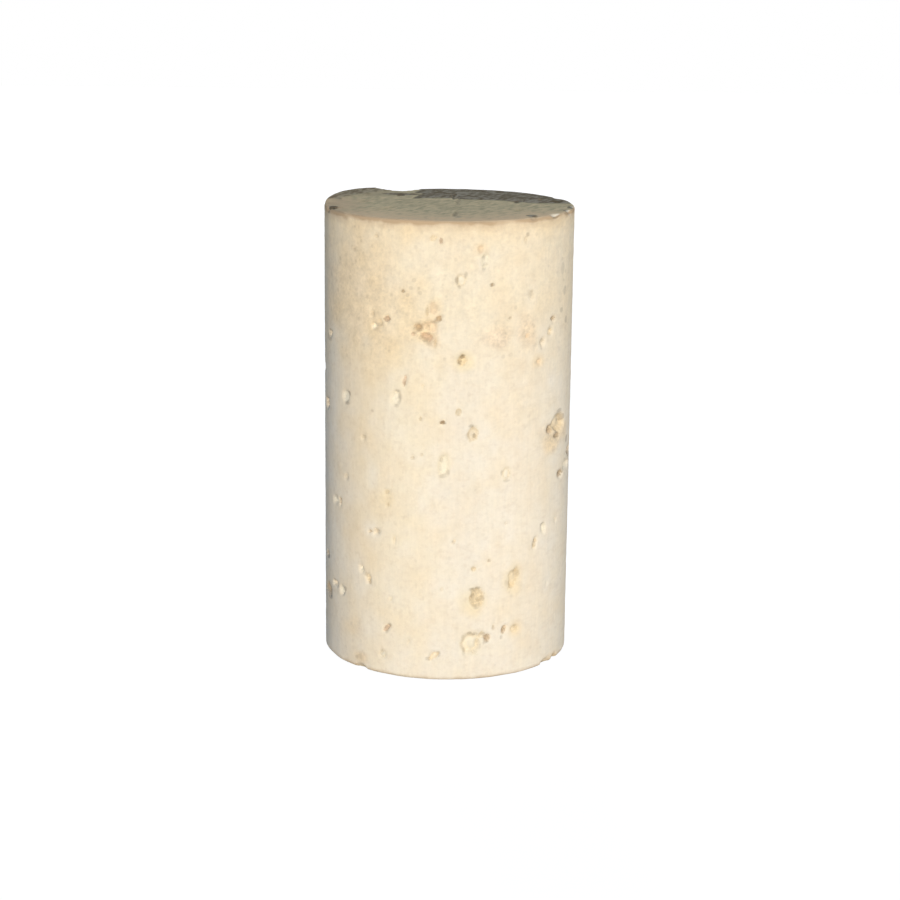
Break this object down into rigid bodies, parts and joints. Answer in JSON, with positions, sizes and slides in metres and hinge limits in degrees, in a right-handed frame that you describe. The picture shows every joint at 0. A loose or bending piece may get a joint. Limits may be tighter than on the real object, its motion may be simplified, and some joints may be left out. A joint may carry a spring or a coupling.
{
  "type": "cork stopper",
  "caption": "Straight natural cork stopper for a bottle, with open bark pores in its side and worn edges.",
  "frame": {"origin": "middle of the lower end, on the surface that the stopper stands on", "axes": "+Z along the stopper's axis to the upper end, +X to the right seen from the front, -Y towards the viewer"},
  "size_m": [0.024, 0.024, 0.0445],
  "materials": {
    "cork": "raw punched cork, matt, with open pores"
  },
  "bodies": {
    "root": {"stopper": "cork"}
  },
  "joints": []
}
